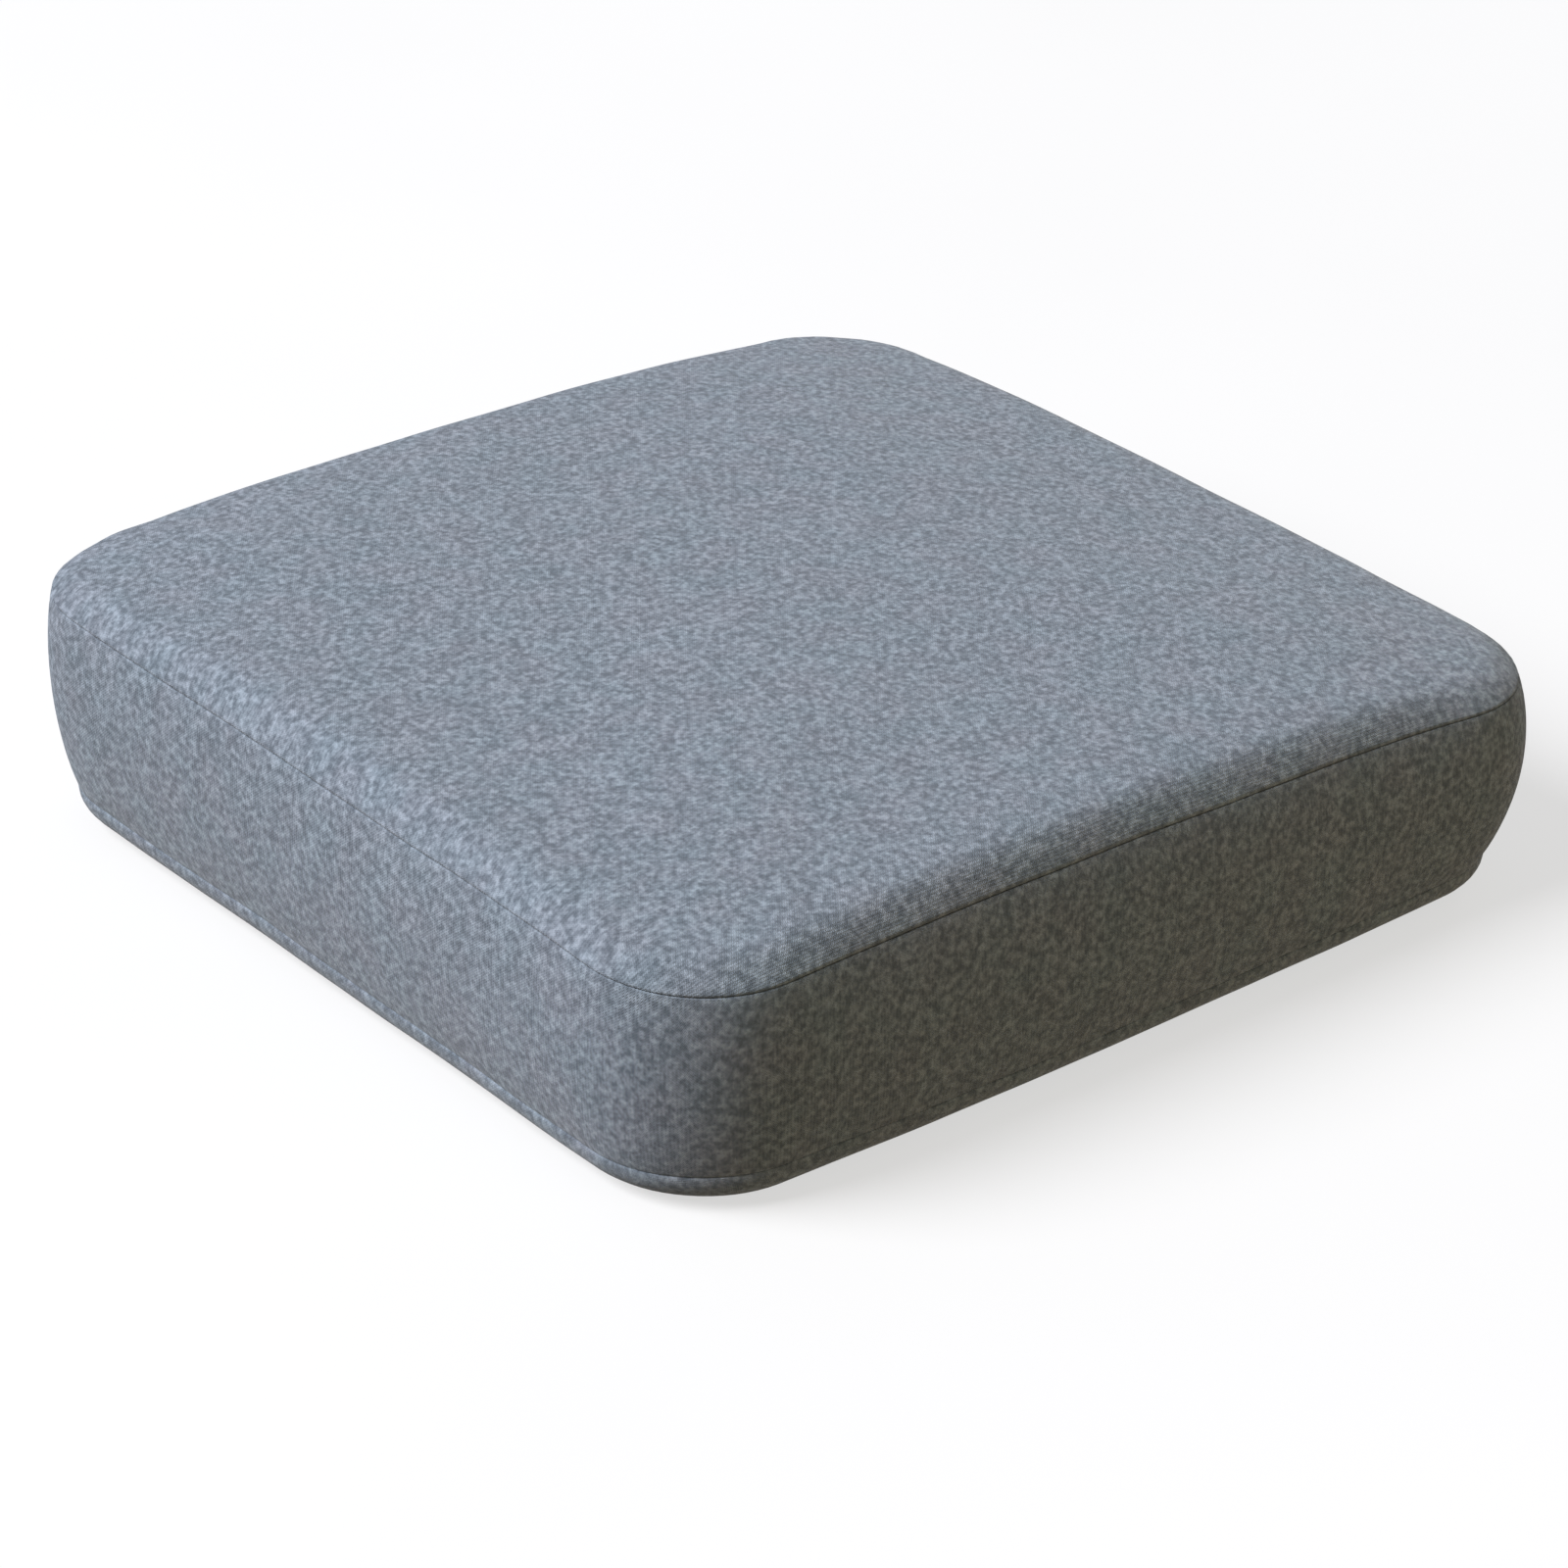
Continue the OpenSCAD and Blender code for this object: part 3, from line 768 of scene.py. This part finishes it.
def knit_height(tree, cut):
    """The height of a plain knit: columns of V-shaped stitches, from the cut's coordinates."""
    uv = add(tree, "SeparateXYZ", {0: cut}).outputs
    wale = maths(tree, "DIVIDE", uv[0], WALE)
    side = maths(tree, "ABSOLUTE", maths(tree, "SUBTRACT", maths(tree, "FRACT", wale), 0.5))
    course = maths(tree, "DIVIDE", uv[1], COURSE)
    slant = maths(tree, "ADD", course, maths(tree, "MULTIPLY", side, 1.6))
    leg = maths(tree, "SINE", maths(tree, "MULTIPLY", slant, 2 * math.pi))
    valley = maths(tree, "COSINE", maths(tree, "MULTIPLY", side, 2 * math.pi))
    return maths(tree, "ADD", leg, maths(tree, "MULTIPLY", valley, -0.6))


def knit_material():
    """Heather knit: light and dark fibres, a faint tint in patches, and raised stitches."""
    made, tree, shader, where = material("heather knit", Roughness=0.92, Specular_IOR_Level=0.18,
                                         Sheen_Weight=0.22, Sheen_Roughness=0.45)
    turned = add(tree, "Mapping", {"Vector": where["Object"], "Rotation": SPECKLE_TURN})
    place = turned.outputs[0]
    fleck = noise_at(tree, place, SPECKLE, 1)
    fine = noise_at(tree, place, SPECKLE * FINE_SPECKLE, 1)
    streak = noise_at(tree, stretched(tree, where["UV"], STREAKS), 1.0, 2, 0.6)
    blend = weighted(tree, (fleck, 0.55), (fine, 0.24), (streak, 0.21))
    share = maths(tree, "POWER", spread(tree, blend, 0.36, 0.64), 1.35)
    colour = mix(tree, share, KNIT_DARK, KNIT_LIGHT)
    patchy = spread(tree, noise_at(tree, place, PATCHES, 3, 0.6), 0.35, 0.65)
    tint = mix(tree, patchy, KNIT_COOL, KNIT_WARM)
    link(tree, mix(tree, 1.0, colour, tint, "MULTIPLY"), shader, "Base Color")
    fuzz = noise_at(tree, place, FUZZ, 3, 0.7)
    height = weighted(tree, (knit_height(tree, where["UV"]), 0.5), (fuzz, 1.6), (fleck, 1.2))
    bump(tree, shader, height, 0.00012, 0.9)
    return made


def foam_material(name, light, dark):
    """Open foam, with small pits."""
    made, tree, shader, where = material(name, Roughness=0.95, Specular_IOR_Level=0.2)
    cells = add(tree, "TexVoronoi", {"Vector": where["Object"], "Scale": 900}).outputs["Distance"]
    tone = spread(tree, noise_at(tree, where["Object"], 60, 3), 0.3, 0.7)
    link(tree, mix(tree, tone, dark, light), shader, "Base Color")
    bump(tree, shader, cells, 0.0004, 0.7)
    return made


def woven_material(name, light, dark, threads_per_metre, roughness, sheen):
    """Plain weave from crossed waves, for the liner, the zip's tapes and the label."""
    made, tree, shader, where = material(name, Roughness=roughness, Sheen_Weight=sheen,
                                         Specular_IOR_Level=0.3)
    at = add(tree, "SeparateXYZ", {0: where["Object"]}).outputs
    along = maths(tree, "ADD", at[0], at[1])
    turn = 2 * math.pi * threads_per_metre
    warp = maths(tree, "SINE", maths(tree, "MULTIPLY", along, turn))
    weft = maths(tree, "SINE", maths(tree, "MULTIPLY", at[2], turn * 0.8))
    weave = maths(tree, "MULTIPLY", warp, weft)
    wear = noise_at(tree, where["Object"], 350, 3)
    share = spread(tree, maths(tree, "ADD", maths(tree, "MULTIPLY", weave, 0.2), wear), 0.2, 0.8)
    link(tree, mix(tree, share, dark, light), shader, "Base Color")
    bump(tree, shader, weave, 0.00008, 0.6)
    return made


def thread_material(name, light, dark):
    """Twisted thread."""
    made, tree, shader, where = material(name, Roughness=0.6, Sheen_Weight=0.2,
                                         Specular_IOR_Level=0.4)
    twist = add(tree, "TexWave", {"Vector": where["Object"], "Scale": 900, "Distortion": 1.5},
                bands_direction="DIAGONAL").outputs["Fac"]
    link(tree, mix(tree, twist, dark, light), shader, "Base Color")
    bump(tree, shader, twist, 0.00006, 0.8)
    return made


def coil_material():
    """The zip's dark nylon."""
    made, tree, shader, where = material("zip coil", Roughness=0.38, Specular_IOR_Level=0.5)
    tone = spread(tree, noise_at(tree, where["Object"], 900, 2), 0.3, 0.7)
    link(tree, mix(tree, tone, (0.060, 0.066, 0.074), (0.100, 0.108, 0.118)), shader, "Base Color")
    rough = spread(tree, noise_at(tree, where["Object"], 2500, 2), 0.0, 1.0)
    link(tree, maths(tree, "ADD", maths(tree, "MULTIPLY", rough, 0.25), 0.28), shader, "Roughness")
    bump(tree, shader, rough, 0.00002, 0.5)
    return made


def metal_material():
    """Brushed grey metal, worn in places."""
    made, tree, shader, where = material("zip metal", Metallic=1.0)
    grain = noise_at(tree, stretched(tree, where["Object"], (400, 400, 4000)), 1.0, 3)
    worn = spread(tree, noise_at(tree, where["Object"], 500, 4, 0.7), 0.45, 0.6)
    link(tree, mix(tree, worn, (0.42, 0.43, 0.44), (0.30, 0.31, 0.32)), shader, "Base Color")
    link(tree, maths(tree, "ADD", maths(tree, "MULTIPLY", grain, 0.2), 0.24), shader, "Roughness")
    bump(tree, shader, grain, 0.00002, 0.4)
    return made


def rubber_material():
    """The dots' dark rubber, finely speckled."""
    made, tree, shader, where = material("grip rubber", Roughness=0.6, Specular_IOR_Level=0.4)
    speck = noise_at(tree, where["Object"], 2200, 3, 0.7)
    tone = spread(tree, speck, 0.35, 0.65)
    link(tree, mix(tree, tone, (0.050, 0.053, 0.057), (0.085, 0.089, 0.094)), shader, "Base Color")
    bump(tree, shader, speck, 0.00004, 0.6)
    return made


# ---- CAD nodes that stay ----

def dress(name, made, edge=None):
    """Gives a CAD node its material, and softens its edges."""
    node = frame["nodes"][name]
    for held in node.material_slots:
        held.material = made
    if edge:
        soft = node.modifiers.new("soft edges", "BEVEL")
        soft.width = edge
        soft.segments = 2
        soft.limit_method = "ANGLE"
        soft.angle_limit = math.radians(35)


# ---- Camera, light and floor ----

VIEW_TURN = math.radians(51.235)         # the camera's way round from the front to the right
VIEW_HEIGHT = math.radians(28.06)        # and up
VIEW_ROLL = math.radians(-0.15)
VIEW_DISTANCE = 1.8397
VIEW_RIGHT, VIEW_UP = 0.0042, -0.0261    # how far it is shifted in its own directions
LENS = 116.39                            # mm, on a sensor of 36 mm
MIDDLE = Vector((0, 0, TOP_Z / 2))


def camera():
    """Looks down on the corner between the front and the right side, rolled slightly."""
    away = Vector((math.sin(VIEW_TURN) * math.cos(VIEW_HEIGHT),
                   -math.cos(VIEW_TURN) * math.cos(VIEW_HEIGHT), math.sin(VIEW_HEIGHT)))
    level = Vector((math.cos(VIEW_TURN), math.sin(VIEW_TURN), 0))
    upright = away.cross(level)
    right = level * math.cos(VIEW_ROLL) + upright * math.sin(VIEW_ROLL)
    up = upright * math.cos(VIEW_ROLL) - level * math.sin(VIEW_ROLL)
    lens = bpy.data.cameras.new("camera")
    lens.lens = LENS
    lens.sensor_width = 36
    lens.clip_start = 0.01
    view = bpy.data.objects.new("camera", lens)
    place = MIDDLE + VIEW_RIGHT * right + VIEW_UP * up + VIEW_DISTANCE * away
    view.matrix_world = Matrix.Translation(place) @ Matrix((right, up, away)).transposed().to_4x4()
    bpy.context.scene.collection.objects.link(view)
    bpy.context.scene.camera = view


def lamp(name, direction, distance, size, power, colour):
    """A round soft lamp that points at the pad."""
    light = bpy.data.lights.new(name, "AREA")
    light.shape = "DISK"
    light.size = size
    light.energy = power
    light.color = colour
    made = bpy.data.objects.new(name, light)
    towards = Vector(direction).normalized()
    made.location = MIDDLE + towards * distance
    made.rotation_euler = towards.to_track_quat("Z", "Y").to_euler()
    made.visible_camera = False
    bpy.context.scene.collection.objects.link(made)


def world():
    """A dim sky, warmer to the right as the photograph's shade is, that the camera sees white."""
    made = bpy.data.worlds.new("studio")
    made.use_nodes = True
    tree = made.node_tree
    tree.nodes.clear()
    way = add(tree, "SeparateXYZ", {0: add(tree, "TexCoord").outputs["Generated"]}).outputs
    sky = mix(tree, spread(tree, way[2], -0.25, 0.25), (0.16, 0.13, 0.10), (0.26, 0.27, 0.29))
    side = mix(tree, spread(tree, way[0], -0.3, 0.4), (1.0, 1.0, 1.10), (1.0, 0.87, 0.64))
    sky = mix(tree, 1.0, sky, side, "MULTIPLY")
    fill = add(tree, "Background", {"Color": sky, "Strength": 0.8})
    backdrop = add(tree, "Background", {"Color": (1, 1, 1, 1), "Strength": 1.0})
    seen = add(tree, "LightPath").outputs["Is Camera Ray"]
    both = add(tree, "MixShader", {0: seen, 1: fill.outputs[0], 2: backdrop.outputs[0]})
    out = tree.nodes.new("ShaderNodeOutputWorld")
    tree.links.new(both.outputs[0], out.inputs[0])
    bpy.context.scene.world = made


def floor():
    """A pale sheet just under the pad, clear when seen from below so that the underside shows."""
    size, level = 5.0, -0.0002           # half its width, and its height
    mesh = bpy.data.meshes.new("floor")
    mesh.from_pydata([(-size, -size, level), (size, -size, level), (size, size, level),
                      (-size, size, level)], [], [(0, 1, 2, 3)])
    made = bpy.data.objects.new("floor", mesh)
    bpy.context.scene.collection.objects.link(made)
    paper, tree, shader, where = material("pale floor", Roughness=0.9, Specular_IOR_Level=0.1,
                                          Emission_Color=(1, 1, 1, 1), Emission_Strength=0.62)
    tone = spread(tree, noise_at(tree, where["Object"], 3, 2), 0.0, 1.0)
    link(tree, mix(tree, tone, (0.32, 0.32, 0.32), (0.35, 0.35, 0.35)), shader, "Base Color")
    below = add(tree, "NewGeometry").outputs["Backfacing"]
    clear = add(tree, "BsdfTransparent")
    both = add(tree, "MixShader", {0: below, 1: shader.outputs[0], 2: clear.outputs[0]})
    out = next(node for node in tree.nodes if node.type == "OUTPUT_MATERIAL")
    tree.links.new(both.outputs[0], out.inputs["Surface"])
    mesh.materials.append(paper)
    made.visible_diffuse = False


# ---- Putting it together ----

camera()
world()
floor()
lamp("key", direction=(-0.27, -0.66, 0.70), distance=8.0, size=5.2, power=862,
     colour=(1.0, 1.01, 1.05))
lamp("warm bounce", direction=(0.95, 0.33, 0.05), distance=1.6, size=1.2, power=3.85,
     colour=(1.0, 0.79, 0.40))
lamp("rear fill", direction=(-0.35, 0.93, 0.12), distance=4.0, size=2.5, power=34,
     colour=(0.97, 0.99, 1.0))

top, strip, bottom = swollen_patches()
cover(top, strip, bottom, knit_material())
filling(top, strip, bottom,
        foam_material("firm foam", (0.62, 0.64, 0.66), (0.50, 0.52, 0.55)),
        foam_material("soft foam", (0.78, 0.76, 0.70), (0.68, 0.66, 0.60)),
        woven_material("liner", (0.085, 0.09, 0.10), (0.05, 0.055, 0.06), 900, 0.8, 0.1))
threads(strip, thread_material("seam thread", (0.10, 0.11, 0.12), (0.05, 0.055, 0.06)),
        thread_material("topstitch thread", (0.36, 0.39, 0.42), (0.20, 0.22, 0.24)))
care_label(strip, woven_material("satin label", (0.86, 0.86, 0.84), (0.66, 0.66, 0.64), 1400,
                                 0.35, 0.3))

tape = woven_material("zip tape", (0.115, 0.125, 0.14), (0.07, 0.078, 0.09), 1500, 0.85, 0.2)
coil, metal = coil_material(), metal_material()
bartack = thread_material("bartack thread", (0.22, 0.245, 0.27), (0.12, 0.135, 0.15))
for edge_name in ("upper", "lower"):
    dress("zip_tape_" + edge_name, tape)
    dress("zip_teeth_" + edge_name, coil, 0.00025)
dress("zip_end_bartacks", bartack, 0.0002)
dress("zip_slider", metal, 0.0003)
dress("zip_pull_tab", metal, 0.0003)
dress("grip_dots", rubber_material(), 0.0002)

bpy.context.scene.view_settings.view_transform = "Standard"
